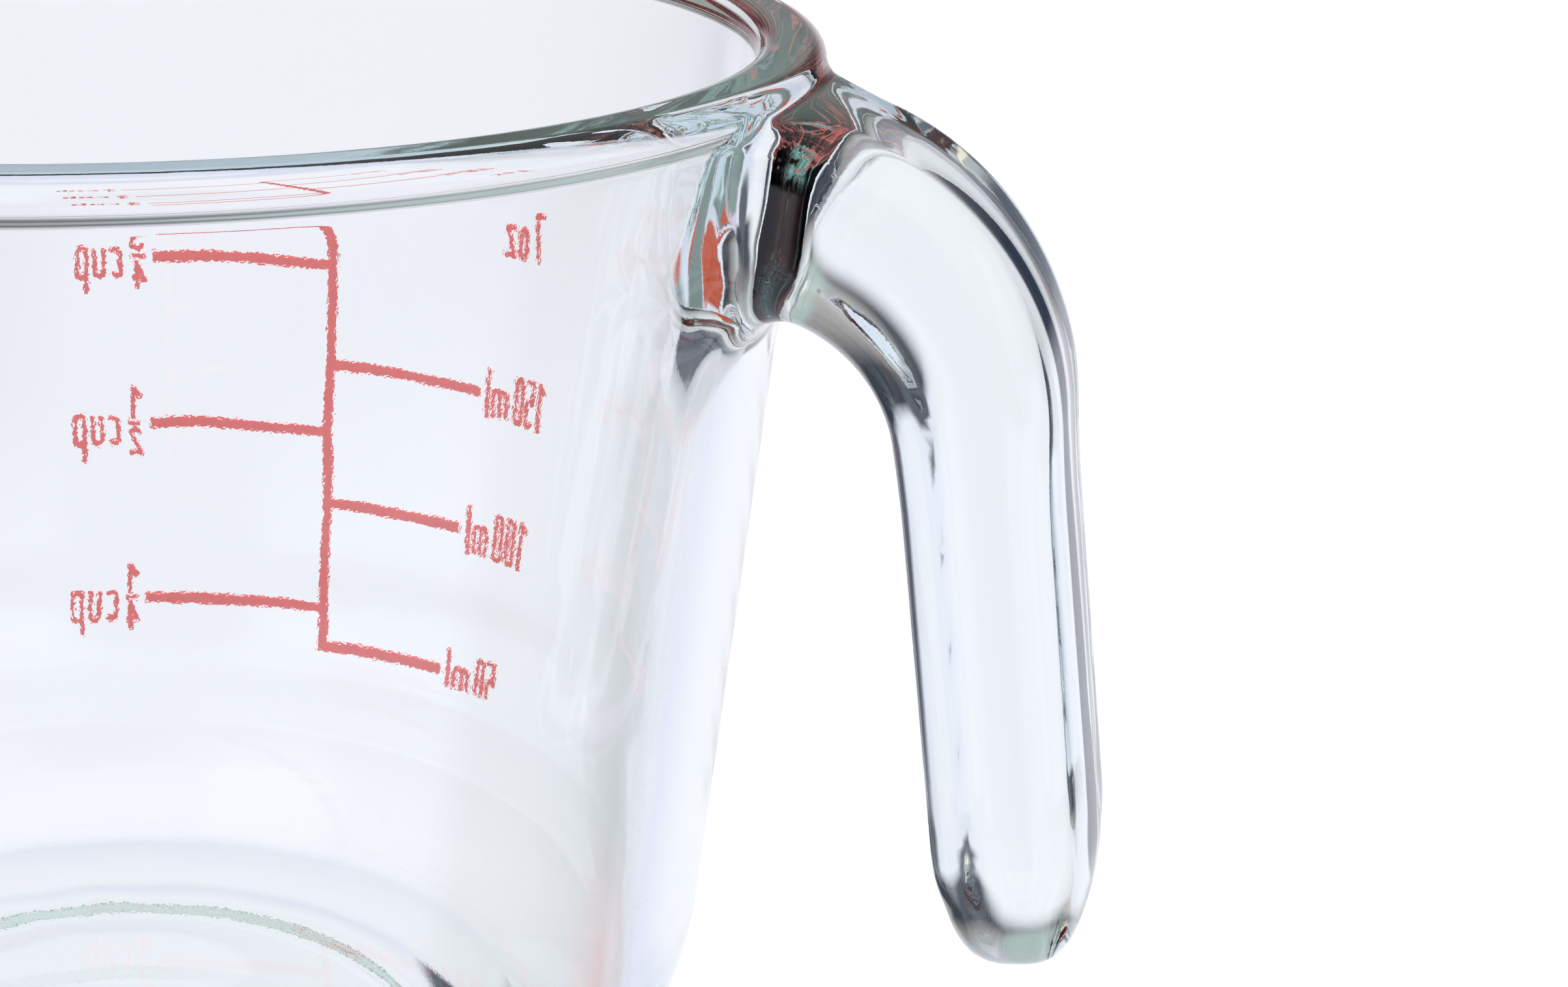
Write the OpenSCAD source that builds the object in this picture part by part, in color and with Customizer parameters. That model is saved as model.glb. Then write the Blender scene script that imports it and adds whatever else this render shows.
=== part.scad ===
// Measuring jug of pressed glass for a quarter of a litre, with a printed scale.
// The jug stands on z = 0 and the axis of its bowl is the Z axis. The open
// handle points along +X and the pouring lip along -X. The clear glass is one
// pressing, divided here into the regions that a glass maker names.

/* [Bowl] */
// Height from the table to the top of the rim
jug_h = 74.4; // [72:0.1:78]
// Outer radius of the wall, carried down to the table
wall_r = 38.5; // [37:0.1:40]
// Lean of the wall away from the vertical, in degrees
wall_lean = 6; // [5:0.25:7]
// Thickness of the wall, square to its face
wall_t = 3.6; // [3.2:0.1:4]
// Height of the inner floor above the table
floor_h = 6.4; // [5.6:0.1:7]
// Outer radius of the heel, where the wall turns into the base
heel_r = 18.5; // [17:0.5:20]
// Inner radius of the corner between wall and floor
corner_r = 8; // [7:0.5:10]

/* [Foot] */
// Height of the foot ring, which lifts the base off the table
foot_h = 0.6; // [0.4:0.05:0.8]
// Radius of the middle of the foot ring
foot_r = 23; // [21.5:0.5:24]
// Width of the flat face that the foot ring stands on
foot_w = 2.4; // [1.8:0.1:3]
// Rise of the shallow dome under the floor
dome_rise = 0.8; // [0.4:0.1:1.2]

/* [Rim] */
// Width of the bead along the rim, in the direction away from the axis
bead_w = 4.3; // [4:0.1:4.8]
// Height of the bead, which is round on both sides and flat on top
bead_h = 2.6; // [2.4:0.1:3]
// Radius of the hollow that blends the bead into the wall below it
bead_blend_r = 0.8; // [0.6:0.1:1.2]

/* [Pouring lip] */
// How far the lip stands out past the rim
lip_reach = 8; // [6:0.25:9]
// Width of the lip along the rim, as an angle in degrees
lip_angle = 42; // [36:1:48]
// Height of the lip, from where it leaves the wall to the rim
lip_h = 24; // [20:0.5:27]

/* [Handle] */
// Depth of the middle of the handle's root below the rim
handle_drop = 7.4; // [7:0.1:8]
// Width of the handle across the flat of the hand
handle_w = 16.5; // [15:0.1:18]
// Thickness of the handle at its root
root_t = 12.3; // [11.6:0.1:12.6]
// Thickness of the handle down its leg
leg_t = 9.3; // [8.7:0.1:9.9]
// Slope of the handle down from the level where it leaves the wall, in degrees
arm_slope = 8; // [5:0.5:12]
// Length of the straight arm between the wall and the bend
arm_l = 1; // [0.5:0.1:2]
// Radius of the bend along the middle of the handle
bend_r = 14; // [13:0.1:15]
// Lean of the leg away from the vertical, in degrees
leg_lean = 7.5; // [6:0.25:9]
// Length of the straight leg, down to where its end starts to round
leg_l = 25.4; // [22:0.2:27]
// Length of the leg's upper stretch in which it thins to its own thickness
thin_l = 6; // [4:0.5:8]
// Length of the rounded end of the handle
tip_l = 9.5; // [7:0.5:10]
// How far the root spreads along the wall on each side of the handle
root_flare_w = 4; // [2:0.25:5]
// How far the root spreads down the wall below the handle
root_flare_h = 2.6; // [1.5:0.1:3.5]

/* [Printed scale] */
// Thickness of the fired enamel
film_t = 0.1; // [0.08:0.01:0.14]
// Height of the foot of the rim's bead above the top line of the scale
headroom = 18.8; // [17:0.1:20]
// Width of the long lines of the scale
line_w = 0.75; // [0.6:0.05:1]
// Where the long upright line stands round the wall, in degrees from the handle
scale_azimuth = 88.4; // [86:0.2:92]
// Length of the lowest millilitre line
ml_line_l = 11.6; // [10:0.1:13]
// How much longer each next millilitre line is
ml_line_step = 1.4; // [1:0.1:1.8]
// Length of each cup line, and of the top line
cup_line_l = 15; // [12:0.5:18]
// Radius of the round corner between the upright line and the top line
turn_r = 3.2; // [2:0.1:4.5]
// Length of the long lines of the ounce scale
ounce_line_l = 12; // [9:0.5:14]
// Length of the short lines of the ounce scale
ounce_short_l = 6; // [4:0.5:8]
// Height of the figures
figure_h = 3.7; // [3.2:0.1:4.2]
// Width of one figure
figure_w = 1.05; // [0.95:0.05:1.3]
// Width of the pen that draws the figures
pen_w = 0.35; // [0.3:0.01:0.4]
// Clear space between a line and its figures
figure_gap = 0.7; // [0.6:0.1:1.2]

/* [Hidden] */
$fn = 96;
glass_colour = [0.84, 0.91, 0.91, 0.5];
enamel_colour = [0.85, 0.24, 0.2];

// Printed marks: volumes in millilitres, shares of a cup, and fluid ounces
ml_marks = [50, 100, 150];
cup_shares = [1/4, 1/2, 3/4];
top_ounces = 7;
ounce_marks = [for (n = [2:top_ounces]) n];
cup_in_ml = 250;
ounce_in_ml = 29.57;

// Outer and inner face of the wall as radii at a height z
slope = tan(wall_lean);
function outer_r(z) = wall_r + slope * z;
function inner_r(z) = outer_r(z) - wall_t / cos(wall_lean);
// Unit steps in the (radius, z) plane: out of the wall, and up along it
wall_out = [cos(wall_lean), -sin(wall_lean)];
wall_up = [sin(wall_lean), cos(wall_lean)];

// Heel circle outside and corner circle inside, both tangent to the wall
heel_z = foot_h + heel_r;
heel_c = [outer_r(heel_z) - heel_r / cos(wall_lean), heel_z];
corner_z = floor_h + corner_r;
corner_c = [inner_r(corner_z) - corner_r / cos(wall_lean), corner_z];
heel_top = heel_c + heel_r * wall_out;
corner_top = corner_c + corner_r * wall_out;
base_land = wall_t / 4;
base_top = max(heel_top[1], corner_top[1]) + base_land;
dome_r = foot_r - foot_w;
dome_ball_r = (pow(dome_r, 2) + pow(dome_rise, 2)) / (2 * dome_rise);
dome_c = [0, foot_h + dome_rise - dome_ball_r];
dome_turn = asin(dome_r / dome_ball_r);
dome_steps = 8;

// The bead is two circles side by side and what lies between them. The inner one
// touches the inner face of the wall, and the outer one stands out past the wall.
bead_r = bead_h / 2;
bead_z = jug_h - bead_r;
bead_in = [inner_r(bead_z) + bead_r / cos(wall_lean), bead_z];
bead_c = bead_in + [bead_w - bead_h, 0];
bead_inner = bead_in - bead_r * wall_out;
bead_depth = bead_r - wall_t + (bead_w - bead_h) * cos(wall_lean);
// Blend circle, tangent to the outer face of the wall and to the bead
blend_drop = sqrt(pow(bead_blend_r + bead_r, 2) - pow(bead_blend_r - bead_depth, 2));
blend_c = bead_c - blend_drop * wall_up + (bead_blend_r - bead_depth) * wall_out;
blend_foot = blend_c - bead_blend_r * wall_out;
rim_z = blend_foot[1];
wall_at_bead = bead_c - bead_depth * wall_out;

// Water held up to the height of the corner's top, up to any height above it,
// and the height that a volume reaches
corner_span = corner_c[1] - corner_top[1];
corner_h = corner_top[1] - floor_h;
corner_area = (pow(corner_r, 2) * (90 - wall_lean) * PI / 180
    - corner_span * corner_r * cos(wall_lean)) / 2;
corner_volume = PI * (pow(corner_c[0], 2) * corner_h + 2 * corner_c[0] * corner_area
    + pow(corner_r, 2) * corner_h - (pow(corner_r, 3) - pow(corner_span, 3)) / 3);
function volume_to(z) = corner_volume
    + PI / (3 * slope) * (pow(corner_top[0] + slope * (z - corner_top[1]), 3) - pow(corner_top[0], 3));
function fill_z(volume) = corner_top[1] + (pow(pow(corner_top[0], 3)
    + 3 * slope * (volume - corner_volume) / PI, 1/3) - corner_top[0]) / slope;
// The top line's height gives the printed millilitre, 1000 mm3 at the real size
top_line_z = rim_z - headroom;
ounce_volume = volume_to(top_line_z) / top_ounces;
millilitre = ounce_volume / ounce_in_ml;
cup_volume = cup_in_ml * millilitre;

// Pouring lip: steps round the rim and points round each section
lip_steps = 24;
lip_wall_steps = 8;
blend_steps = 4;
bead_steps = 10;
lip_z = jug_h - lip_h;
blend_turn = atan2(bead_c[1] - blend_c[1], bead_c[0] - blend_c[0]);

// Handle: its middle line is a short arm, a bend and a straight leg
handle_z = jug_h - handle_drop;
handle_start = [outer_r(handle_z), handle_z];
bend_turn = 90 - leg_lean - arm_slope;
bend_l = bend_r * bend_turn * PI / 180;
root_l = root_t * 2 / 3;
root_inset = wall_t * 5 / 4;
sides = 28;
root_rings = 10;
grip_rings = 18;
tip_rings = 6;
// Power of the rounded cross-section: 2 is an ellipse, and more is squarer
section_power = 3.4;

// Overrun of a cutting shape past the face that it cuts
overrun = 1;

// Flat shapes, in the (radius, z) plane

// Base and heel together, without the foot ring
module base_section() {
    difference() {
        union() {
            intersection() {
                translate(heel_c) circle(heel_r);
                translate([0, foot_h]) square([heel_c[0] + heel_r, base_top - foot_h]);
            }
            polygon([
                [0, foot_h], [heel_c[0], foot_h], heel_c, heel_top,
                [outer_r(base_top), base_top], [0, base_top]
            ]);
        }
        bowl_section();
        polygon(concat([[0, foot_h]], arc_points(dome_c, dome_ball_r, 90 - dome_turn, 90, dome_steps)));
    }
}

// The foot's flanks slope at 45 degrees, up to the base
module foot_section() {
    polygon([
        [foot_r - foot_w / 2, 0], [foot_r + foot_w / 2, 0],
        [foot_r + foot_w / 2 + foot_h, foot_h], [foot_r - foot_w / 2 - foot_h, foot_h]
    ]);
}

module bowl_section() {
    top = base_top + overrun;
    translate(corner_c) circle(corner_r);
    polygon([[0, floor_h], [corner_c[0], floor_h], corner_c, corner_top, [inner_r(top), top], [0, top]]);
}

module wall_section(z0, z1) {
    polygon([[inner_r(z0), z0], [outer_r(z0), z0], [outer_r(z1), z1], [inner_r(z1), z1]]);
}

module rim_section() {
    for (c = [bead_in, bead_c]) translate(c) circle(bead_r);
    translate(bead_in - [0, bead_r]) square([bead_w - bead_h, bead_h]);
    polygon([[inner_r(rim_z), rim_z], blend_foot, wall_at_bead, bead_c, bead_in, bead_inner]);
    difference() {
        polygon([blend_foot, blend_c, bead_c, wall_at_bead]);
        translate(blend_c) circle(bead_blend_r);
    }
}

// Everything inside the outer face, from the foot to the top of the rim
module outer_form() {
    rotate_extrude() {
        intersection() {
            rim_section();
            translate([bead_c[0], 0]) square([bead_w, jug_h]);
        }
        polygon([[0, 0], [wall_r, 0], blend_foot, wall_at_bead, bead_c, [bead_c[0], jug_h], [0, jug_h]]);
    }
}

// The room that the lip takes out of the wall
module lip_sector() {
    rotate(180 - lip_angle / 2) rotate_extrude(angle = lip_angle)
        translate([inner_r(lip_z) - overrun, lip_z]) square([wall_t + lip_h, lip_h]);
}

// Glass

module foot_ring() {
    color(glass_colour) rotate_extrude() foot_section();
}

// The flat middle, out to where the corner inside starts to rise
module base() {
    color(glass_colour) rotate_extrude() intersection() {
        base_section();
        square([corner_c[0], base_top]);
    }
}

module heel() {
    color(glass_colour) rotate_extrude() difference() {
        base_section();
        square([corner_c[0], base_top + overrun]);
    }
}

module wall() {
    color(glass_colour) difference() {
        rotate_extrude() wall_section(base_top, rim_z);
        lip_sector();
    }
}

module rim() {
    color(glass_colour)
        rotate(lip_angle / 2 - 180) rotate_extrude(angle = 360 - lip_angle) rim_section();
}

// Sections of the lip are the wall's and the rim's own outline as points
function arc_points(c, r, a0, a1, steps) =
    [for (i = [0:steps]) let (a = a0 + (a1 - a0) * i / steps) c + r * [cos(a), sin(a)]];
function lip_outline() = concat(
    [for (i = [0:lip_wall_steps - 1]) let (z = lip_z + (rim_z - lip_z) * i / lip_wall_steps)
        [outer_r(z), z]],
    arc_points(blend_c, bead_blend_r, 180 - wall_lean, blend_turn, blend_steps),
    arc_points(bead_c, bead_r, blend_turn - 180 + bead_turn_step(), 90, bead_steps),
    arc_points(bead_in, bead_r, 90, 180 - wall_lean, bead_steps / 2),
    [for (i = [1:lip_wall_steps]) let (z = bead_inner[1] + (lip_z - bead_inner[1]) * i / lip_wall_steps)
        [inner_r(z), z]]
);
// The bead's first point is one step past the blend's last, so none is doubled
function bead_turn_step() = (270 - blend_turn) / (bead_steps + 1);
// The lip swells as a squared cosine round the rim and as a power up the wall
function lip_swell(turn, z) = lip_reach * pow(cos(180 * turn / lip_angle), 2)
    * pow(max(z - lip_z, 0) / lip_h, 1.7);

module pouring_lip() {
    outline = lip_outline();
    n = len(outline);
    points = [for (i = [0:lip_steps], p = outline)
        let (turn = lip_angle * (i / lip_steps - 1 / 2), r = p[0] + lip_swell(turn, p[1]))
        [-r * cos(turn), -r * sin(turn), p[1]]];
    color(glass_colour) polyhedron(points, tube_faces(n, lip_steps), convexity = 4);
}

// Faces of a closed tube of n points a ring and of so many steps, with flat ends
function tube_faces(n, steps) = concat(
    [[for (j = [0:n - 1]) j]],
    [for (i = [0:steps - 1], j = [0:n - 1]) let (k = (j + 1) % n, a = i * n, b = a + n)
        [a + j, b + j, b + k]],
    [for (i = [0:steps - 1], j = [0:n - 1]) let (k = (j + 1) % n, a = i * n, b = a + n)
        [a + j, b + k, a + k]],
    [[for (j = [0:n - 1]) steps * n + n - 1 - j]]
);

// Middle line of the handle in the (x, z) plane, and its slope, at a length s
function slope_at(s) = arm_slope + bend_turn * min(max((s - arm_l) / bend_l, 0), 1);
bend_start = handle_start + arm_l * [cos(arm_slope), -sin(arm_slope)];
bend_c = bend_start - bend_r * [sin(arm_slope), cos(arm_slope)];
bend_end = bend_c + bend_r * [cos(leg_lean), sin(leg_lean)];
function middle_at(s) =
    s < arm_l ? handle_start + s * [cos(arm_slope), -sin(arm_slope)] :
    s < arm_l + bend_l ? bend_c + bend_r * [sin(slope_at(s)), cos(slope_at(s))] :
    bend_end + (s - arm_l - bend_l) * [sin(leg_lean), -cos(leg_lean)];
// The handle thins along the bend and the top of the leg, from the root's thickness to the leg's
function ease(share) = let (t = min(max(share, 0), 1)) t * t * (3 - 2 * t);
function thick_at(s) = root_t + (leg_t - root_t) * ease(s / (arm_l + bend_l + thin_l));
function flare_at(s) = pow(max(1 - s / root_l, 0), 2);
function powered(v) = sign(v) * pow(abs(v), 2 / section_power);
// One ring round the handle at a length s, drawn in by inset on every side
function ring_at(s, inset, ahead) = let (
    m = middle_at(s) + ahead * [cos(slope_at(s)), -sin(slope_at(s))],
    up = [sin(slope_at(s)), cos(slope_at(s))],
    flare = flare_at(s)
) [for (j = [0:sides - 1]) let (
    a = 360 * j / sides,
    y = powered(cos(a)) * (handle_w / 2 + root_flare_w * flare - inset),
    h = powered(sin(a)) * (thick_at(s) / 2 + (a > 180 ? root_flare_h * flare : 0) - inset),
    p = m + h * up
) [p[0], y, p[1]]];

module handle_root() {
    rings = [for (i = [0:root_rings]) ring_at(-root_inset + (root_l + root_inset) * i / root_rings, 0, 0)];
    color(glass_colour) difference() {
        polyhedron([for (r = rings, p = r) p], tube_faces(sides, root_rings), convexity = 4);
        outer_form();
    }
}

module handle_grip() {
    handle_l = arm_l + bend_l + leg_l;
    tip_r = leg_t / 2;
    rings = concat(
        [for (i = [0:grip_rings]) ring_at(root_l + (handle_l - root_l) * i / grip_rings, 0, 0)],
        [for (i = [1:tip_rings]) let (a = 84 * i / tip_rings)
            ring_at(handle_l, tip_r * (1 - cos(a)), tip_l * sin(a))]
    );
    color(glass_colour)
        polyhedron([for (r = rings, p = r) p], tube_faces(sides, grip_rings + tip_rings), convexity = 4);
}

// Printed scale

// Degrees round the wall that a length along it takes at a height z
function degrees_of(l, z) = l / outer_r(z) * 180 / PI;

// A thin band on the outer face of the wall between two heights
module film(z0, z1) {
    polygon([[outer_r(z0), z0], [outer_r(z0) + film_t, z0], [outer_r(z1) + film_t, z1], [outer_r(z1), z1]]);
}

// A level line at a height z, from an azimuth on for a length, which may be negative
module level_line(azimuth, z, l, w = line_w) {
    rotate(min(azimuth, azimuth + degrees_of(l, z)))
        rotate_extrude(angle = degrees_of(abs(l), z)) film(z - w / 2, z + w / 2);
}

// An upright line at an azimuth, between two heights
module upright_line(azimuth, z0, z1, w = line_w) {
    turn = degrees_of(w, (z0 + z1) / 2);
    rotate(azimuth - turn / 2) rotate_extrude(angle = turn) film(z0, z1);
}

// Lays a flat drawing on the wall with its origin at an azimuth and a height,
// and its x axis to the right as seen from outside
module on_wall(azimuth, z) {
    rotate(azimuth) translate([outer_r(z) - 2 * wall_t, 0, z]) rotate([90, 0, 90])
        linear_extrude(4 * wall_t) children();
}

module film_shell() {
    rotate_extrude() film(base_top, rim_z);
}

// One straight stroke of the pen, with ends carried on by a share of its width
module stroke(a, b, end_share = 1/2) {
    d = b - a;
    over = pen_w * end_share;
    translate(a) rotate(atan2(d[1], d[0])) translate([-over, -pen_w / 2])
        square([norm(d) + 2 * over, pen_w]);
}

// A stroke of the pen round a centre, of radius r, from angle a0 to angle a1
module curve(c, r, a0, a1, w = pen_w) {
    reach = 2 * (r + w);
    translate(c) intersection() {
        difference() {
            circle(r + w / 2);
            circle(r - w / 2);
        }
        polygon(concat([[0, 0]], arc_points([0, 0], reach, a0, a1, 4)));
    }
}

// Width and height of a figure along the middle of the pen, and of small letters
pen_x = figure_w - pen_w;
pen_r = pen_x / 2;
pen_h = figure_h - pen_w;
small_h = pen_h * 0.62;
bowl_h = pen_h * 0.6;
// Angle by which each end of the letter c stops short of its widest point
letter_gap = 20;

// Letters and figures are drawn along the middle of the pen, from (0, 0) up to
// (pen_x, h), so that a fraction's small figures can share them
module glyph(c, h = pen_h) {
    mid = h / 2;
    bowl = h * bowl_h / pen_h;
    if (c == "0") loop(0, h);
    if (c == "1") {
        stroke([pen_x * 0.7, 0], [pen_x * 0.7, h]);
        stroke([pen_x * 0.7, h], [0, h - pen_x * 0.7]);
    }
    if (c == "2") {
        cap(h);
        stroke([pen_x, h - pen_r], [0, 0]);
        stroke([0, 0], [pen_x, 0]);
    }
    if (c == "3") {
        cap(h);
        stroke([pen_x, mid + pen_r], [pen_x, h - pen_r], 0);
        curve([pen_r, mid + pen_r], pen_r, -90, 0);
        curve([pen_r, mid - pen_r], pen_r, 0, 90);
        stroke([pen_x, pen_r], [pen_x, mid - pen_r], 0);
        cup(0);
    }
    if (c == "4") {
        stroke([pen_x * 0.75, 0], [pen_x * 0.75, h]);
        stroke([pen_x * 0.75, h], [0, h / 3]);
        stroke([0, h / 3], [pen_x, h / 3]);
    }
    if (c == "5") {
        stroke([0, h], [pen_x, h]);
        stroke([0, bowl - pen_r], [0, h], 0);
        cap(bowl);
        stroke([pen_x, pen_r], [pen_x, bowl - pen_r], 0);
        cup(0);
    }
    if (c == "6") {
        loop(0, bowl);
        stroke([0, bowl - pen_r], [0, h - pen_r], 0);
        cap(h);
    }
    if (c == "7") {
        stroke([0, h], [pen_x, h]);
        stroke([pen_x, h], [pen_x * 0.3, 0]);
    }
    if (c == "8") {
        loop(0, mid);
        loop(mid, h);
    }
    if (c == "l") stroke([0, 0], [0, h]);
    if (c == "m") for (x = [0, 2 * pen_r]) {
        stroke([x, 0], [x, small_h - pen_r], 0);
        stroke([x + pen_x, 0], [x + pen_x, small_h - pen_r], 0);
        translate([x, 0]) cap(small_h);
    }
    if (c == "c") {
        curve([pen_r, small_h - pen_r], pen_r, letter_gap, 180);
        stroke([0, pen_r], [0, small_h - pen_r], 0);
        curve([pen_r, pen_r], pen_r, 180, 360 - letter_gap);
    }
    if (c == "u") {
        cup(0);
        for (x = [0, pen_x]) stroke([x, pen_r], [x, small_h], 0);
    }
    if (c == "p") {
        loop(0, small_h);
        stroke([0, small_h - pen_h], [0, small_h], 0);
    }
    if (c == "o") loop(0, small_h);
    if (c == "z") {
        for (y = [0, small_h]) stroke([0, y], [pen_x, y]);
        stroke([0, 0], [pen_x, small_h]);
    }
}

// Upper half circle that ends at a height, and lower half circle that starts at one
module cap(top) {
    curve([pen_r, top - pen_r], pen_r, 0, 180);
}

module cup(bottom) {
    curve([pen_r, bottom + pen_r], pen_r, 180, 360);
}

module loop(bottom, top) {
    cap(top);
    cup(bottom);
    for (x = [0, pen_x]) stroke([x, bottom + pen_r], [x, top - pen_r], 0);
}

// Room that each letter takes along a line of print, and where letter i starts
letter_space = pen_w * 0.9;
function room(c) = c == " " ? pen_w : letter_space +
    (c == "l" ? pen_w : c == "m" ? figure_w + pen_x : figure_w);
function pen_at(words, i) = i == 0 ? 0 : pen_at(words, i - 1) + room(words[i - 1]);
function length_of(words) = pen_at(words, len(words)) - letter_space;

// A line of print with its left end at an azimuth, at mid height z. Each letter
// is turned round the wall by itself.
module words_at(words, azimuth, z) {
    low = z - figure_h / 2 + pen_w / 2;
    for (i = [0:len(words) - 1])
        on_wall(azimuth + degrees_of(pen_at(words, i) + pen_w / 2, z), low) glyph(words[i]);
}

// A fraction with a bar between its two small figures, left end at an azimuth
module fraction_at(above, below, azimuth, z) {
    small = figure_h * 0.62;
    spread = small / 2 + pen_w;
    on_wall(azimuth + degrees_of(pen_w / 2, z), z) {
        translate([0, spread - (small - pen_w) / 2]) glyph(above, small - pen_w);
        translate([0, -spread - (small - pen_w) / 2]) glyph(below, small - pen_w);
        stroke([0, 0], [pen_x, 0]);
    }
}

// Azimuth of the end of a line that starts at the upright
function line_end(l, z) = scale_azimuth + degrees_of(l, z);

module scale_upright() {
    corner_low = top_line_z - turn_r;
    upright_l = corner_low - fill_z(ml_marks[0] * millilitre) + line_w / 2;
    color(enamel_colour) intersection() {
        on_wall(scale_azimuth, corner_low) {
            translate([-line_w / 2, -upright_l]) square([line_w, upright_l]);
            curve([turn_r, 0], turn_r, 90, 180, line_w);
        }
        film_shell();
    }
}

// Length of millilitre line number i, measured from the middle of the upright
function ml_line(i) = ml_line_l + ml_line_step * i;

module millilitre_lines() {
    color(enamel_colour) for (i = [0:len(ml_marks) - 1]) {
        z = fill_z(ml_marks[i] * millilitre);
        level_line(line_end(-line_w / 2, z), z, line_w / 2 - ml_line(i));
    }
}

module millilitre_figures() {
    color(enamel_colour) intersection() {
        for (i = [0:len(ml_marks) - 1]) {
            z = fill_z(ml_marks[i] * millilitre);
            words = str(ml_marks[i], " ml");
            words_at(words, line_end(-ml_line(i) - figure_gap - length_of(words), z), z);
        }
        film_shell();
    }
}

module cup_lines() {
    start = line_w / 2;
    color(enamel_colour) for (share = cup_shares) {
        z = fill_z(share * cup_volume);
        level_line(line_end(start, z), z, cup_line_l - start);
    }
}

// The top line starts where the round corner ends
module top_line() {
    color(enamel_colour)
        level_line(line_end(turn_r, top_line_z), top_line_z, cup_line_l - turn_r);
}

// The ounces of the top line, past the ends of the millilitre lines and a little above it
module top_figures() {
    words = str(top_ounces, " oz");
    z = top_line_z + line_w;
    reach = ml_line(len(ml_marks)) + figure_gap + length_of(words);
    color(enamel_colour) intersection() {
        words_at(words, line_end(-reach, z), z);
        film_shell();
    }
}

module cup_figures() {
    z = [for (share = cup_shares) fill_z(share * cup_volume)];
    start = cup_line_l + figure_gap;
    color(enamel_colour) intersection() {
        union() {
            fraction_at("1", "4", line_end(start, z[0]), z[0]);
            fraction_at("1", "2", line_end(start, z[1]), z[1]);
            fraction_at("3", "4", line_end(start, z[2]), z[2]);
            for (level = z) words_at("cup", line_end(start + figure_w + figure_gap, level), level);
        }
        film_shell();
    }
}

// The ounce scale is on the side across from the first scale, and its lines run
// from its upright towards the pouring lip
ounce_azimuth = -90;
function ounce_z(n) = fill_z(n * ounce_volume);
function is_long(n) = n % 2 == 0;

module ounce_upright() {
    low = ounce_z(ounce_marks[0]);
    high = ounce_z(ounce_marks[len(ounce_marks) - 1]);
    color(enamel_colour) upright_line(ounce_azimuth, low - line_w / 2, high + line_w / 2);
}

module ounce_lines() {
    color(enamel_colour) for (n = ounce_marks) {
        z = ounce_z(n);
        start = ounce_azimuth - degrees_of(line_w / 2, z);
        level_line(start, z, line_w / 2 - (is_long(n) ? ounce_line_l : ounce_short_l));
    }
}

module ounce_figures() {
    color(enamel_colour) intersection() {
        for (n = ounce_marks) if (is_long(n)) {
            z = ounce_z(n);
            words = str(n, " oz");
            reach = ounce_line_l + figure_gap + length_of(words);
            words_at(words, ounce_azimuth - degrees_of(reach, z), z);
        }
        film_shell();
    }
}

foot_ring();
base();
heel();
wall();
rim();
pouring_lip();
handle_root();
handle_grip();
scale_upright();
millilitre_lines();
millilitre_figures();
top_line();
top_figures();
cup_lines();
cup_figures();
ounce_upright();
ounce_lines();
ounce_figures();
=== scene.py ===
"""Looks of a pressed-glass measuring jug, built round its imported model."""

import math

import bpy
import numpy as np
from mathutils import Matrix, Vector


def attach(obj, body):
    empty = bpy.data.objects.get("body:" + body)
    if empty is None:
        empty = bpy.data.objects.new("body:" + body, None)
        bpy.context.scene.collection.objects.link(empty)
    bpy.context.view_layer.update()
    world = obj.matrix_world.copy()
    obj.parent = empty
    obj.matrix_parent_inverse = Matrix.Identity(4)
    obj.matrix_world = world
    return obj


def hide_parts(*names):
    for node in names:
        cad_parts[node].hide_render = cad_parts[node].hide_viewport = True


# Lengths are in millimetres, as in the part's source, where nothing else is said
MM = 0.001
WHITE = (1, 1, 1, 1)

# Bowl
JUG_H = 74.4
WALL_R = 38.5
LEAN = math.radians(6)
WALL_T = 3.6
FLOOR_H = 6.4
HEEL_R = 18.5
CORNER_R = 8.0

# Foot
FOOT_H = 0.6
FOOT_R = 23.0
FOOT_W = 2.4
DOME_RISE = 0.8

# Rim and pouring lip
BEAD_W = 4.3
BEAD_R = 1.3
BLEND_R = 0.8
LIP_REACH = 8.0
LIP_ANGLE = math.radians(42)
LIP_H = 24.0
LIP_POWER = 1.7

# Handle
HANDLE_Z = JUG_H - 7.4
HANDLE_W = 16.5
ROOT_T = 12.3
LEG_T = 9.3
ARM_SLOPE = math.radians(8)
ARM_L = 1.0
BEND_R = 14.0
LEG_LEAN = math.radians(7.5)
LEG_L = 25.4
THIN_L = 6.0
TIP_L = 8.7
HANDLE_CORNER = 2.6
HANDLE_CROWN = 0.45
HALF_T = LEG_T / 2
TIP_POWER = 3.0
TIP_FULLNESS = 2.2
TIP_FADE = 4.0

# Soft joints of the skin: how far each one reaches, and the height below which the root's one grows
FOOT_BLEND = 0.6
RIM_EDGE = 1.3
ROOT_BLEND = 4.0
ROOT_TOP_BLEND = 0.8
ROOT_BLEND_Z = HANDLE_Z + ROOT_T / 3

# The root's spread on the wall; it starts at a share of the bar's half width
ROOT_SPREAD = 0.4
ROOT_SPREAD_START = 0.4
ROOT_FLARE_W = 4.0
ROOT_FLARE_L = 4.5
ROOT_FLARE_Z = HANDLE_Z - 6.0
ROOT_FLARE_H = 5.0

# Ripple left by the mould: depth, start above the foot, and the height over which it grows
RIPPLE = 0.0008
RIPPLE_START = 4.0
RIPPLE_FADE = 8.0
OUTER_PHASE = 0.4
INNER_PHASE = 1.3
# Its waves: number round the jug, radians to the millimetre of height, phase, relative height
RIPPLE_WAVES = [
    (38, 0.9, 0.3, 0.8),
    (57, -1.4, 1.9, 0.7),
    (83, 0.6, 2.6, 0.5),
    (45, -2.1, 5.2, 0.5),
    (11, 0.21, 0.9, 1.2),
]

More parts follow.
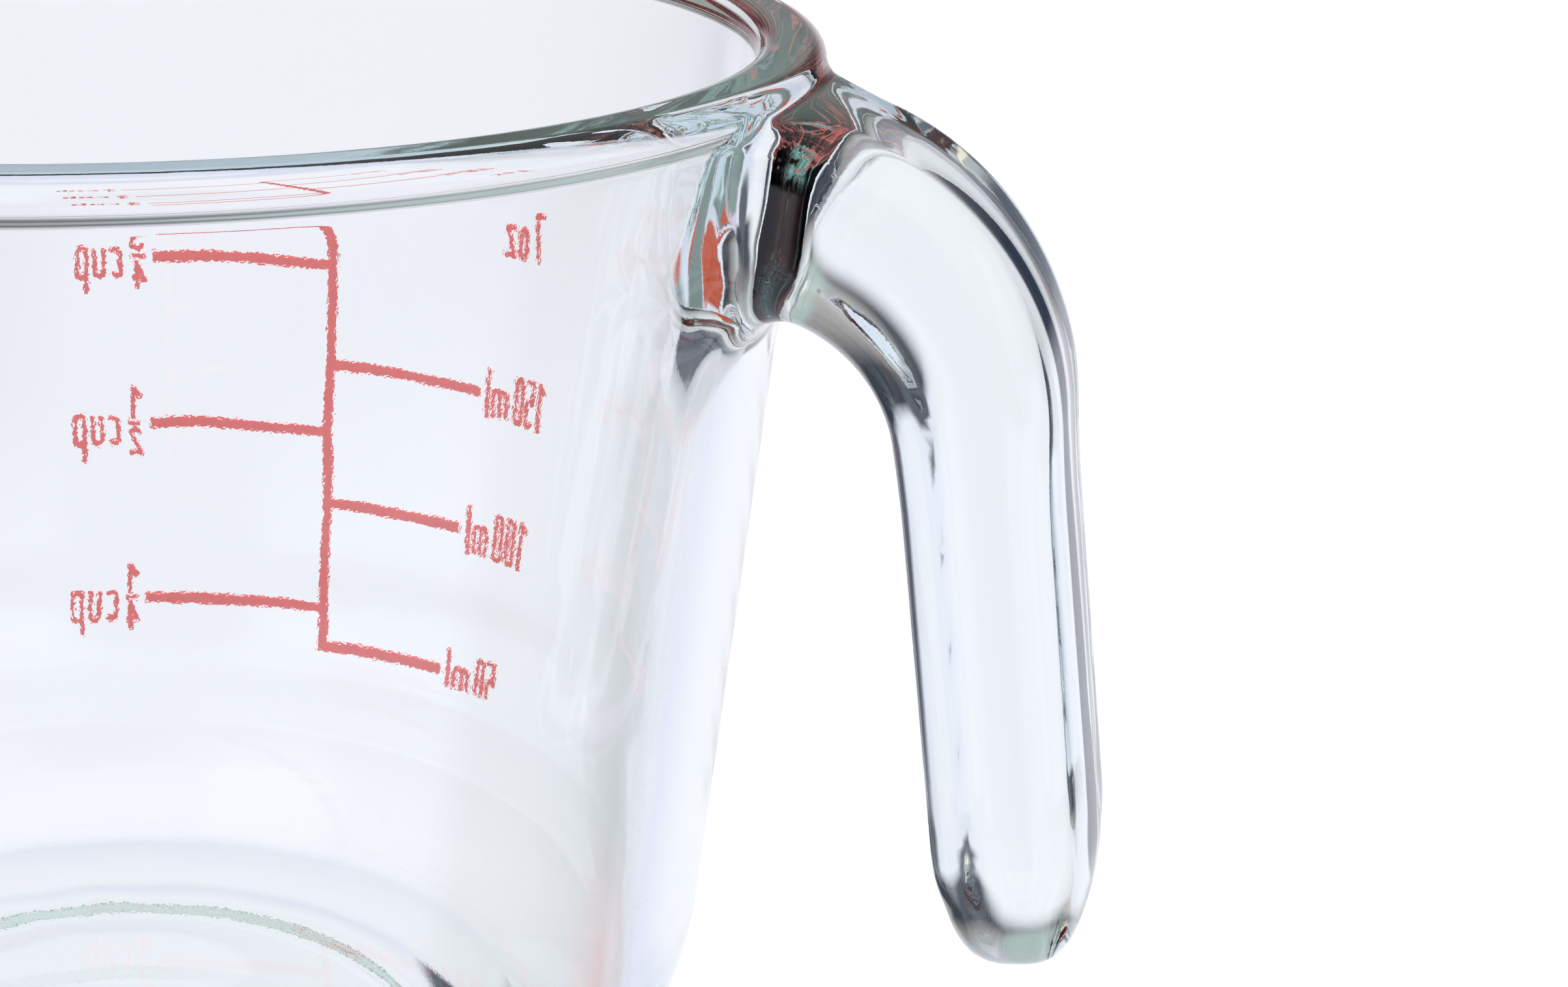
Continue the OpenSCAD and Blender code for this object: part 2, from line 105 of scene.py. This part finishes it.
# Mesh of the skin: cells across the floor, elsewhere and along the rim, and how far inside the rim
# the fine ones start; then the turns from cell to cell, which are finer in the handle's sector
BROAD_CELL = 1.2
CELL = 0.8
FINE_CELL = 0.4
RIM_MARGIN = 2.0
WIDE_TURN = math.radians(1.5)
FINE_TURN = math.radians(0.6)
HANDLE_SECTOR = math.radians(26)

# How its points are brought onto the surface
SETTLE_ROUNDS = 2
RELAX_ROUNDS = 2
GRADIENT_STEP = 0.02
LEAST_SLOPE_SQUARED = 0.05
TINY = 1e-9

# Glass: the colour that it lets through, and the grain of its pressed face, in waves to the metre
GLASS_NODES = [
    "foot_ring", "base", "heel", "wall", "rim", "pouring_lip", "handle_root", "handle_grip",
]
GLASS_IOR = 1.5
GLASS_TINT = (0.62, 0.86, 0.80, 1)
GLASS_DENSITY = 9.0
GRAIN_SCALE = 5200
GRAIN_DETAIL = 1
GRAIN_DEPTH = 0.0006

# Enamel: how far it stands through the face of the glass on each side, its reds, and a painted light: a
# red glow that stands in for the light reaching it through the glass
ENAMEL_GROWTH = 0.02
ENAMEL_REDS = [(0.35, (0.84, 0.06, 0.045)), (0.7, (0.92, 0.12, 0.09))]
SPECKLE_SCALE = 900
SPECKLE_DETAIL = 3
ENAMEL_ROUGHNESS = 0.4
ENAMEL_SCATTER = (1, 0.45, 0.35)
ENAMEL_SCATTER_DEPTH = 0.3
# Painted light: the enamel glows, in place of the light that reaches it through the glass
ENAMEL_PAINTED_LIGHT_COLOUR = (1, 0.32, 0.31, 1)
ENAMEL_PAINTED_LIGHT_STRENGTH = 0.36

# Floor: half its side, its height, and its own glow, to which the light on it adds up to white
FLOOR_REACH = 4000.0
FLOOR_Z = -0.05
FLOOR_GREY = (0.8, 0.8, 0.8, 1)
FLOOR_ROUGHNESS = 0.9
FLOOR_GLOW = 0.62

# What the glass sees round it, from below (0) over the horizon (0.5) to above (1)
ROOM = [
    (0.0, (0.70, 0.74, 0.90)),
    (0.37, (0.82, 0.85, 0.98)),
    (0.42, (0.86, 0.89, 1.0)),
    (0.46, (0.03, 0.04, 0.06)),
    (0.56, (0.03, 0.035, 0.05)),
    (0.64, (0.30, 0.29, 0.28)),
    (0.80, (0.55, 0.56, 0.6)),
    (1.0, (1, 1, 1)),
]
# Patches of it: azimuth, elevation, inner and outer angle in degrees, colour
PATCHES = [
    (162, -44, 12, 22, (0.14, 0.13, 0.12)),
    (103, -22, 20, 36, (0.95, 0.96, 1.02)),
    (142, -23, 16, 20, (0.03, 0.04, 0.07)),
    (-66, 26, 16, 24, (0.13, 0.15, 0.19)),
    (57, -10, 7, 13, (0.10, 0.11, 0.14)),
    (103, 22, 8, 16, (0.42, 0.52, 0.49)),
    (17, -14, 12, 26, (0.72, 0.66, 0.80)),
    (28, -36, 18, 23, (0.20, 0.26, 0.25)),
    # These two red patches are painted reflections: red glints of the print, put in the room so that the
    # glass shows them
    (48, -37, 4, 7, (0.60, 0.09, 0.035)),
    (-121, -42, 9, 14, (0.60, 0.09, 0.035)),
    (-80, -8, 12, 26, (0.05, 0.06, 0.10)),
    (-115, 48, 8, 16, (1.3, 1.2, 1.0)),
]

# Key light, in metres and watts
KEY_SIZE = 0.5
KEY_ENERGY = 6
KEY_PLACE = (-0.12, 0.3, 0.8)
KEY_TARGET = (0, 0, 0.04)

# Camera: the photograph's width and the focal length in pixels, and the view fitted to it, but for
# its distance from the jug's axis, which is given. The clips are in metres.
FRAME_W = 2408
SENSOR = 36.0
FOCAL_PX = 4666.8
CAMERA_R = 190.0
CAMERA_Z = 106.22
CAMERA_AZIMUTH = math.radians(-63.246)
CAMERA_YAW = math.radians(-13.755)
CAMERA_PITCH = math.radians(18.331)
CAMERA_ROLL = math.radians(2.084)
CLIP_START, CLIP_END = 0.005, 20

# Bounces of light: it passes many faces of thick glass before it gets out
GLASS_BOUNCES = 32
OTHER_BOUNCES = 16

SLOPE = math.tan(LEAN)
WALL_OUT = np.array([math.cos(LEAN), -math.sin(LEAN)])
WALL_UP = np.array([math.sin(LEAN), math.cos(LEAN)])


def outer_r(z):
    return WALL_R + SLOPE * z


def inner_r(z):
    return outer_r(z) - WALL_T / math.cos(LEAN)


HEEL_C = np.array([outer_r(FOOT_H + HEEL_R) - HEEL_R / math.cos(LEAN), FOOT_H + HEEL_R])
CORNER_C = np.array([inner_r(FLOOR_H + CORNER_R) - CORNER_R / math.cos(LEAN), FLOOR_H + CORNER_R])
BEAD_Z = JUG_H - BEAD_R
BEAD_FLAT = BEAD_W - 2 * BEAD_R
BEAD_IN = np.array([inner_r(BEAD_Z) + BEAD_R / math.cos(LEAN), BEAD_Z])
BEAD_C = BEAD_IN + np.array([BEAD_FLAT, 0])
BEAD_DEPTH = BEAD_R - WALL_T + BEAD_FLAT * math.cos(LEAN)
BLEND_DROP = math.sqrt((BLEND_R + BEAD_R) ** 2 - (BLEND_R - BEAD_DEPTH) ** 2)
BLEND_C = BEAD_C - BLEND_DROP * WALL_UP + (BLEND_R - BEAD_DEPTH) * WALL_OUT
BLEND_TURN = math.atan2(BEAD_C[1] - BLEND_C[1], BEAD_C[0] - BLEND_C[0])
LIP_Z = JUG_H - LIP_H
DOME_R = FOOT_R - FOOT_W

ARM_DIR = np.array([math.cos(ARM_SLOPE), -math.sin(ARM_SLOPE)])
ARM_UP = np.array([math.sin(ARM_SLOPE), math.cos(ARM_SLOPE)])
LEG_DIR = np.array([math.sin(LEG_LEAN), -math.cos(LEG_LEAN)])
LEG_OUT = np.array([math.cos(LEG_LEAN), math.sin(LEG_LEAN)])
ARM_START = np.array([outer_r(HANDLE_Z), HANDLE_Z])
BEND_START = ARM_START + ARM_L * ARM_DIR
BEND_C = BEND_START - BEND_R * ARM_UP
BEND_END = BEND_C + BEND_R * LEG_OUT
BEND_L = BEND_R * (math.pi / 2 - LEG_LEAN - ARM_SLOPE)


# Distances: negative in the glass, positive in the air

def smooth_min(a, b, reach):
    """Union of two shapes with a soft joint that reaches so far along each."""
    h = np.maximum(reach - np.abs(a - b), 0) / reach
    return np.minimum(a, b) - h * h * reach / 4


def smooth_max(a, b, reach):
    return -smooth_min(-a, -b, reach)


def ease(t):
    t = np.clip(t, 0, 1)
    return t * t * (3 - 2 * t)


def sector_or_faces(r, z, centre, radius, wall, level):
    """A wall and a level face that meet in a round of that radius."""
    dr, dz = r - centre[0], z - centre[1]
    in_round = (dr > 0) & (dr * WALL_UP[0] + dz * WALL_UP[1] < 0)
    return np.where(in_round, np.hypot(dr, dz) - radius, np.maximum(wall, level))


def bead(r, z):
    """The bead along the rim, round on the outside and flat on top."""
    return np.hypot(np.maximum(r - BEAD_C[0], 0), z - BEAD_Z) - BEAD_R


def above(r, z, centre):
    """Whether a point is further up the wall than a centre is."""
    return (r - centre[0]) * WALL_UP[0] + (z - centre[1]) * WALL_UP[1] > 0


def outer_face(r, z):
    """Everything within the outer face of bowl, foot and bead."""
    wall = (r - outer_r(z)) * math.cos(LEAN)
    dome = DOME_RISE * np.clip(1 - (r / DOME_R) ** 2, 0, 1) ** 2
    body = sector_or_faces(r, z, HEEL_C, HEEL_R, wall, FOOT_H + dome - z)
    flank = (np.abs(r - FOOT_R) - FOOT_W / 2 - z) / math.sqrt(2)
    foot = np.maximum(smooth_max(-z, flank, FOOT_BLEND), z - 2 * FOOT_H)
    body = smooth_min(body, foot, FOOT_BLEND)
    qr, qz = r - BLEND_C[0], z - BLEND_C[1]
    turn = np.arctan2(qz, qr)
    in_blend = (turn > BLEND_TURN) & (turn < math.pi - LEAN)
    rim = bead(r, z)
    body = np.where(in_blend, BLEND_R - np.hypot(qr, qz), np.minimum(body, rim))
    return np.where(above(r, z, BEAD_C), rim, body)


def cavity(r, z):
    """The hollow of the bowl."""
    wall = (r - inner_r(z)) * math.cos(LEAN)
    return sector_or_faces(r, z, CORNER_C, CORNER_R, wall, FLOOR_H - z)


def place_on_bar(x, z):
    """The way along the bent bar to a point, the point's distance from the bar's middle line, and
    both of them again for the straight leg alone."""
    p = np.stack([x, z], -1)
    arm_s, arm_h = (p - ARM_START) @ ARM_DIR, (p - ARM_START) @ ARM_UP
    arm_over = np.maximum(arm_s - ARM_L, 0) + np.maximum(-WALL_T - arm_s, 0)
    leg_s, leg_h = (p - BEND_END) @ LEG_DIR, (p - BEND_END) @ LEG_OUT
    leg_over = np.maximum(-leg_s, 0) + np.maximum(leg_s - LEG_L - TIP_L, 0)
    d = p - BEND_C
    turn = np.arctan2(d[..., 1], d[..., 0])
    start_turn = math.pi / 2 - ARM_SLOPE
    held_turn = np.clip(turn, LEG_LEAN, start_turn)
    bend_s = ARM_L + (start_turn - held_turn) * BEND_R
    bend_h = np.hypot(d[..., 0], d[..., 1]) - BEND_R
    bend_over = np.abs(turn - held_turn) * BEND_R
    away = np.stack([np.hypot(arm_h, arm_over), np.hypot(bend_h, bend_over), np.hypot(leg_h, leg_over)])
    nearest = away.argmin(0)
    ways = [np.clip(arm_s, 0, ARM_L), bend_s, ARM_L + BEND_L + np.maximum(leg_s, 0)]
    return np.choose(nearest, ways), np.choose(nearest, away), leg_s, leg_h


def handle(x, y, z, flare):
    """The bent bar, from inside the wall down to its free end, wider where it flares."""
    s, h, leg_s, leg_h = place_on_bar(x, z)
    half_t = (ROOT_T + (LEG_T - ROOT_T) * ease(s / (ARM_L + BEND_L + THIN_L))) / 2
    half_w = HANDLE_W / 2 + flare
    crown_y = HANDLE_CROWN * np.clip(h / half_t, 0, 1) ** 2
    crown_h = HANDLE_CROWN * np.clip(np.abs(y) / half_w, 0, 1) ** 2
    corner = HANDLE_CORNER * half_t / HALF_T
    qy = np.abs(y) + crown_y - half_w + corner
    qh = h + crown_h - half_t + corner
    section = np.hypot(np.maximum(qy, 0), np.maximum(qh, 0)) + np.minimum(np.maximum(qy, qh), 0) - corner
    end_s = np.maximum(leg_s - LEG_L, 0) / TIP_L
    across = (np.abs(y) / half_w) ** TIP_POWER + (np.abs(leg_h) / HALF_T) ** TIP_POWER
    end = ((across + end_s ** TIP_FULLNESS) ** (1 / TIP_POWER) - 1) * HALF_T
    share = np.where(leg_s > LEG_L, ease(end_s * TIP_L / TIP_FADE), 0)
    return section + (end - section) * share


def ripple(turn, z, offset):
    """The faint waves of pressed glass."""
    waves = [high * np.sin(n * turn + k * z + phase + offset * n) for n, k, phase, high in RIPPLE_WAVES]
    return RIPPLE * sum(waves)


def glass(points):
    """Distance of points from the glass, with every region of it in one skin."""
    x, y, z = points[..., 0], points[..., 1], points[..., 2]
    turn = np.arctan2(y, -x)
    in_lip = np.abs(turn) < LIP_ANGLE / 2
    rise = np.clip((z - LIP_Z) / LIP_H, 0, 1) ** LIP_POWER
    swell = np.where(in_lip, LIP_REACH * np.cos(math.pi * turn / LIP_ANGLE) ** 2 * rise, 0)
    r = np.hypot(x, y) - swell
    outer_fade = ease((z - FOOT_H - RIPPLE_START) / RIPPLE_FADE)
    inner_fade = ease((z - FLOOR_H) / RIPPLE_FADE)
    outer = outer_face(r, z) + outer_fade * ripple(turn, z, OUTER_PHASE)
    hollow = cavity(r, z) + inner_fade * ripple(turn, z, INNER_PHASE)
    by_wall = np.clip(1 - outer / ROOT_FLARE_L, 0, 1) ** 2
    flare = ROOT_FLARE_W * ease((z - ROOT_FLARE_Z) / ROOT_FLARE_H) * by_wall
    depth = ease((ROOT_BLEND_Z - z) / ROOT_T)
    reach = ROOT_TOP_BLEND + (ROOT_BLEND - ROOT_TOP_BLEND) * depth
    spread = 1 - (1 - ROOT_SPREAD) * ease(2 * np.abs(y) / HANDLE_W - ROOT_SPREAD_START) * depth
    outer = smooth_min(outer, spread * handle(x, y, z, flare), reach)
    return smooth_max(outer, -hollow, RIM_EDGE)


# Mesh of a distance field, on a grid of cells in radius, turn and height

CORNERS = [(i, j, k) for i in (0, 1) for j in (0, 1) for k in (0, 1)]


def steps_between(*stops):
    """Grid lines from stop to stop: a place, then the step from there to the next place."""
    lines = [np.array([stops[0]])]
    for low, step, high in zip(stops[0:-2:2], stops[1:-1:2], stops[2::2]):
        lines.append(np.linspace(low, high, max(int(round((high - low) / step)), 1) + 1)[1:])
    return np.concatenate(lines)


def at_polar(lines):
    r, turn, z = lines[..., 0], lines[..., 1], lines[..., 2]
    return np.stack([r * np.cos(turn), r * np.sin(turn), z], -1)


def grid_values(field, axes):
    turn, z = np.meshgrid(axes[1], axes[2], indexing="ij")
    return np.stack([field(at_polar(np.stack([np.full_like(z, r), turn, z], -1))) for r in axes[0]])


def at_corner(grid, corner):
    """What the grid holds at that corner of each cell."""
    return grid[tuple(slice(c, c + size - 1) for c, size in zip(corner, grid.shape))]


def cell_points(values, axes, active):
    """In each active cell the mean of the places where the surface crosses its edges."""
    cells = np.argwhere(active)
    total, crossings = np.zeros((len(cells), 3)), np.zeros(len(cells))
    for axis in range(3):
        for corner in CORNERS:
            if corner[axis]:
                continue
            other = list(corner)
            other[axis] = 1
            a, b = at_corner(values, corner)[active], at_corner(values, other)[active]
            crossed = (a < 0) != (b < 0)
            share = np.where(crossed, a / np.where(crossed, a - b, 1), 0)
            place = np.array(corner, float) + np.eye(3)[axis] * share[:, None]
            total += place * crossed[:, None]
            crossings += crossed
    share = total / crossings[:, None]
    lines = [axes[i][cells[:, i]] * (1 - share[:, i]) + axes[i][cells[:, i] + 1] * share[:, i]
             for i in range(3)]
    return at_polar(np.stack(lines, -1))


def cell_faces(inside, index):
    """A face across each grid edge that the surface crosses, over the four cells round the edge."""
    turns = index.shape[1]
    faces = []
    for axis in range(3):
        u, v = (axis + 1) % 3, (axis + 2) % 3
        a = np.take(inside, range(inside.shape[axis] - 1), axis)
        b = np.take(inside, range(1, inside.shape[axis]), axis)
        edges = np.argwhere(a != b)
        for side in (u, v):
            edges = edges[edges[:, side] < turns] if side == 1 else edges[edges[:, side] > 0]
        outward = a[tuple(edges.T)]
        steps = []
        for du, dv in ((1, 1), (0, 1), (0, 0), (1, 0)):
            cell_at = edges.copy()
            cell_at[:, u] -= du
            cell_at[:, v] -= dv
            cell_at[:, 1] %= turns
            steps.append(index[tuple(cell_at.T)])
        quads = np.stack(steps, -1)
        quads[~outward] = quads[~outward][:, ::-1]
        faces.append(quads)
    return np.concatenate(faces)


def axis_fans(rings, inside):
    """The round holes left on the axis, as rings of points in the order of the faces."""
    fans = []
    for k in np.nonzero((rings >= 0).all(0))[0]:
        fans.append(rings[:, k] if inside[k] else rings[::-1, k])
    return fans


def net_of(values, axes):
    """One point in each cell that the surface crosses, the faces that join them, and the holes left.
    The second axis runs once round, so its last line is its first again."""
    inside = values < 0
    count = sum(at_corner(inside, corner).astype(np.int8) for corner in CORNERS)
    active = (count > 0) & (count < len(CORNERS))
    index = np.full(active.shape, -1, np.int64)
    index[active] = np.arange(active.sum())
    points = cell_points(values, axes, active)
    return points, cell_faces(inside, index), axis_fans(index[0], inside[0, 0])


def gradient(field, points):
    """How fast a field changes along each axis."""
    steps = GRADIENT_STEP * np.eye(3)
    return np.stack([(field(points + s) - field(points - s)) / (2 * GRADIENT_STEP) for s in steps], -1)


def settle(field, points, longest):
    """Moves points onto the surface, each round by no more than the longest step."""
    for _ in range(SETTLE_ROUNDS):
        slope = gradient(field, points)
        steepness = np.maximum((slope ** 2).sum(-1, keepdims=True), LEAST_SLOPE_SQUARED)
        move = -field(points)[:, None] * slope / steepness
        size = np.linalg.norm(move, axis=-1, keepdims=True)
        points = points + move * np.minimum(1, longest / np.maximum(size, TINY))
    return points


def relaxed(points, faces):
    """Each point at the mean of the middles of its faces."""
    middle = points[faces].mean(1)
    total, count = np.zeros_like(points), np.zeros(len(points))
    for corner in range(4):
        np.add.at(total, faces[:, corner], middle)
        np.add.at(count, faces[:, corner], 1)
    return total / count[:, None]


def mesh_object(name, points, faces, normals=None):
    """A smooth mesh object from points in millimetres."""
    mesh = bpy.data.meshes.new(name)
    mesh.from_pydata((points * MM).tolist(), [], [list(map(int, face)) for face in faces])
    mesh.polygons.foreach_set("use_smooth", np.ones(len(faces), bool))
    if normals is not None:
        mesh.normals_split_custom_set_from_vertices(normals.tolist())
    mesh.update()
    made = bpy.data.objects.new(name, mesh)
    bpy.context.scene.collection.objects.link(made)
    return made


def make_glass():
    """The whole pressing as one skin, with finer faces along the rim and round the handle."""
    coarse = 1
    broad, even, fine = BROAD_CELL * coarse, CELL * coarse, FINE_CELL * coarse
    turn, wide = FINE_TURN * coarse, WIDE_TURN * coarse
    reach = BEND_END[0] + (LEG_L + TIP_L) * LEG_DIR[0] + LEG_T
    axes = [
        steps_between(0, broad, CORNER_C[0], even, inner_r(JUG_H) - RIM_MARGIN,
                      fine, BEAD_C[0] + 2 * BEAD_R, even, reach),
        steps_between(-HANDLE_SECTOR, turn, HANDLE_SECTOR, wide, 2 * math.pi - HANDLE_SECTOR),
        steps_between(-even, even, BLEND_C[1] - BLEND_R, fine, JUG_H + 2 * fine),
    ]
    points, faces, rings = net_of(grid_values(glass, axes), axes)
    points = settle(glass, points, fine)
    for _ in range(RELAX_ROUNDS):
        points = settle(glass, relaxed(points, faces), fine)
    faces = list(faces)
    for ring in rings:
        faces += [(len(points), ring[i - 1], ring[i]) for i in range(len(ring))]
        points = np.concatenate([points, points[ring].mean(0, keepdims=True)])
    points = settle(glass, points, fine)
    normals = gradient(glass, points)
    normals /= np.linalg.norm(normals, axis=-1, keepdims=True)
    print("glass mesh", len(points), "points", len(faces), "faces",
          "off by", float(np.abs(glass(points)).max()))
    return mesh_object("glass_jug", points, faces, normals)


# Materials

def new_material(name):
    material = bpy.data.materials.new(name)
    material.use_nodes = True
    nodes = material.node_tree.nodes
    return material, nodes, material.node_tree.links, nodes["Principled BSDF"]


def set_inputs(node, values):
    for name, value in values.items():
        node.inputs[name].default_value = value


def noise(nodes, links, scale, detail):
    """Noise that stays where it is on the object."""
    where = nodes.new("ShaderNodeTexCoord")
    made = nodes.new("ShaderNodeTexNoise")
    set_inputs(made, {"Scale": scale, "Detail": detail})
    links.new(where.outputs["Object"], made.inputs["Vector"])
    return made.outputs["Fac"]


def ramp_over(nodes, links, share, stops):
    """A colour that follows a share through stops, which are given from the lowest up."""
    ramp = nodes.new("ShaderNodeValToRGB")
    elements = ramp.color_ramp.elements
    for element, (place, colour) in ((elements[0], stops[0]), (elements[1], stops[-1])):
        element.position, element.color = place, (*colour, 1)
    for place, colour in stops[1:-1]:
        elements.new(place).color = (*colour, 1)
    links.new(share, ramp.inputs["Fac"])
    return ramp.outputs["Color"]


def show_to_camera(nodes, links, seen, otherwise, surface):
    """One shader for the camera's own rays, and another for all that the glass bends or mirrors."""
    path = nodes.new("ShaderNodeLightPath")
    mix = nodes.new("ShaderNodeMixShader")
    links.new(path.outputs["Is Camera Ray"], mix.inputs["Fac"])
    links.new(otherwise, mix.inputs[1])
    links.new(seen, mix.inputs[2])
    links.new(mix.outputs["Shader"], surface)


def glass_material():
    material, nodes, links, shader = new_material("clear_glass")
    set_inputs(shader, {
        "Base Color": WHITE, "Roughness": 0.0, "IOR": GLASS_IOR, "Transmission Weight": 1.0,
    })
    volume = nodes.new("ShaderNodeVolumeAbsorption")
    set_inputs(volume, {"Color": GLASS_TINT, "Density": GLASS_DENSITY})
    links.new(volume.outputs["Volume"], nodes["Material Output"].inputs["Volume"])
    bump = nodes.new("ShaderNodeBump")
    set_inputs(bump, {"Distance": GRAIN_DEPTH * MM})
    links.new(noise(nodes, links, GRAIN_SCALE, GRAIN_DETAIL), bump.inputs["Height"])
    links.new(bump.outputs["Normal"], shader.inputs["Normal"])
    return material


def enamel_material():
    material, nodes, links, shader = new_material("red_enamel")
    speckle = noise(nodes, links, SPECKLE_SCALE, SPECKLE_DETAIL)
    links.new(ramp_over(nodes, links, speckle, ENAMEL_REDS), shader.inputs["Base Color"])
    set_inputs(shader, {
        "Roughness": ENAMEL_ROUGHNESS,
        "Subsurface Weight": 1.0,
        "Subsurface Radius": ENAMEL_SCATTER,
        "Subsurface Scale": ENAMEL_SCATTER_DEPTH * MM,
        # Painted light: a faint red glow that stands in for the light the enamel gets from all round
        "Emission Color": ENAMEL_PAINTED_LIGHT_COLOUR,
        "Emission Strength": ENAMEL_PAINTED_LIGHT_STRENGTH,
    })
    return material


def dress_enamel(nodes):
    """The printed marks keep their solids, grown a little so that they sit in the glass."""
    material = enamel_material()
    for name, node in nodes.items():
        if name in GLASS_NODES:
            continue
        node.data.materials.clear()
        node.data.materials.append(material)
        grow = node.modifiers.new("grow", "DISPLACE")
        grow.strength = ENAMEL_GROWTH * MM
        grow.mid_level = 0


# Stage

def make_floor():
    """Pale and matt to the camera, with the jug's shadow on it. The glass sees the room in its place."""
    signs = [(-1, -1), (1, -1), (1, 1), (-1, 1)]
    corners = np.array([(FLOOR_REACH * x, FLOOR_REACH * y, FLOOR_Z) for x, y in signs])
    floor = mesh_object("floor", corners, [(0, 1, 2, 3)])
    material, nodes, links, shader = new_material("pale_floor")
    set_inputs(shader, {
        "Base Color": FLOOR_GREY, "Roughness": FLOOR_ROUGHNESS,
        "Emission Color": WHITE, "Emission Strength": FLOOR_GLOW,
    })
    clear = nodes.new("ShaderNodeBsdfTransparent")
    surface = nodes["Material Output"].inputs["Surface"]
    show_to_camera(nodes, links, shader.outputs["BSDF"], clear.outputs["BSDF"], surface)
    floor.data.materials.append(material)


def direction(azimuth, elevation):
    a, e = math.radians(azimuth), math.radians(elevation)
    return Vector((math.cos(a) * math.cos(e), math.sin(a) * math.cos(e), math.sin(e)))


def zone(nodes, links, way, centre, inner, outer):
    """A soft round patch of the surroundings: 1 within the inner angle, 0 past the outer one."""
    dot = nodes.new("ShaderNodeVectorMath")
    dot.operation = "DOT_PRODUCT"
    dot.inputs[1].default_value = centre
    share = nodes.new("ShaderNodeMapRange")
    share.interpolation_type = "SMOOTHSTEP"
    set_inputs(share, {
        "From Min": math.cos(math.radians(outer)), "From Max": math.cos(math.radians(inner)),
    })
    links.new(way, dot.inputs[0])
    links.new(dot.outputs["Value"], share.inputs["Value"])
    return share.outputs["Result"]


def mixed(nodes, links, share, below, colour):
    """A colour laid over another by a share."""
    mix = nodes.new("ShaderNodeMix")
    mix.data_type = "RGBA"
    mix.inputs["B"].default_value = (*colour, 1)
    links.new(share, mix.inputs["Factor"])
    links.new(below, mix.inputs["A"])
    return mix.outputs["Result"]


def make_world():
    """White to the camera. The glass sees a pale floor, a dark room, soft lights, and two red patches
    that are painted reflections of the print.
    """
    world = bpy.data.worlds.new("studio")
    bpy.context.scene.world = world
    world.use_nodes = True
    nodes, links = world.node_tree.nodes, world.node_tree.links
    backdrop = nodes["Background"]
    set_inputs(backdrop, {"Color": WHITE})
    room = nodes.new("ShaderNodeBackground")
    way = nodes.new("ShaderNodeTexCoord").outputs["Generated"]
    split = nodes.new("ShaderNodeSeparateXYZ")
    height = nodes.new("ShaderNodeMapRange")
    set_inputs(height, {"From Min": -1})
    links.new(way, split.inputs["Vector"])
    links.new(split.outputs["Z"], height.inputs["Value"])
    colour = ramp_over(nodes, links, height.outputs["Result"], ROOM)
    for azimuth, elevation, inner, outer, patch in PATCHES:
        share = zone(nodes, links, way, direction(azimuth, elevation), inner, outer)
        colour = mixed(nodes, links, share, colour, patch)
    links.new(colour, room.inputs["Color"])
    surface = nodes["World Output"].inputs["Surface"]
    show_to_camera(nodes, links, backdrop.outputs["Background"], room.outputs["Background"], surface)


def make_light():
    """One soft key light, which the glass itself doesn't show."""
    data = bpy.data.lights.new("key", "AREA")
    data.shape = "RECTANGLE"
    data.size = data.size_y = KEY_SIZE
    data.energy = KEY_ENERGY
    light = bpy.data.objects.new("key", data)
    light.location = KEY_PLACE
    light.rotation_euler = (Vector(KEY_TARGET) - light.location).to_track_quat("-Z", "Y").to_euler()
    light.visible_glossy = False
    light.visible_transmission = False
    bpy.context.scene.collection.objects.link(light)


def make_camera():
    """The view fitted to the photograph's rim, outline of the wall, base ring and scale lines."""
    data = bpy.data.cameras.new("camera")
    data.sensor_width = SENSOR
    data.lens = FOCAL_PX * SENSOR / FRAME_W
    data.clip_start, data.clip_end = CLIP_START, CLIP_END
    camera = bpy.data.objects.new("camera", data)
    bpy.context.scene.collection.objects.link(camera)
    bpy.context.scene.camera = camera
    heading = CAMERA_AZIMUTH + math.pi + CAMERA_YAW
    ahead = Vector((math.cos(heading) * math.cos(CAMERA_PITCH),
                    math.sin(heading) * math.cos(CAMERA_PITCH), -math.sin(CAMERA_PITCH)))
    right = Vector((math.sin(heading), -math.cos(heading), 0))
    up = right.cross(ahead)
    c, s = math.cos(CAMERA_ROLL), math.sin(CAMERA_ROLL)
    right, up = c * right + s * up, c * up - s * right
    place = Vector((CAMERA_R * math.cos(CAMERA_AZIMUTH),
                    CAMERA_R * math.sin(CAMERA_AZIMUTH), CAMERA_Z)) * MM
    turned = Matrix((right, up, -ahead)).transposed().to_4x4()
    camera.matrix_world = Matrix.Translation(place) @ turned


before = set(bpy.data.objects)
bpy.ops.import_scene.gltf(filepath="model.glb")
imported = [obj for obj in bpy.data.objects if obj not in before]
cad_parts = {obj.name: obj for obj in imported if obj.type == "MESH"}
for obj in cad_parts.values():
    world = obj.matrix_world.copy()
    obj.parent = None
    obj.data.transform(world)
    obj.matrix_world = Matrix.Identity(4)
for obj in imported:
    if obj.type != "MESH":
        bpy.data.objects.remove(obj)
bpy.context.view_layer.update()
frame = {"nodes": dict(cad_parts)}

jug = make_glass()
jug.data.materials.append(glass_material())
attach(jug, "root")
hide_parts(*GLASS_NODES)
dress_enamel(frame["nodes"])

make_floor()
make_world()
make_light()
make_camera()
cycles = bpy.context.scene.cycles
cycles.max_bounces = cycles.transmission_bounces = GLASS_BOUNCES
cycles.glossy_bounces = cycles.transparent_max_bounces = OTHER_BOUNCES
bpy.context.scene.view_settings.view_transform = "Standard"
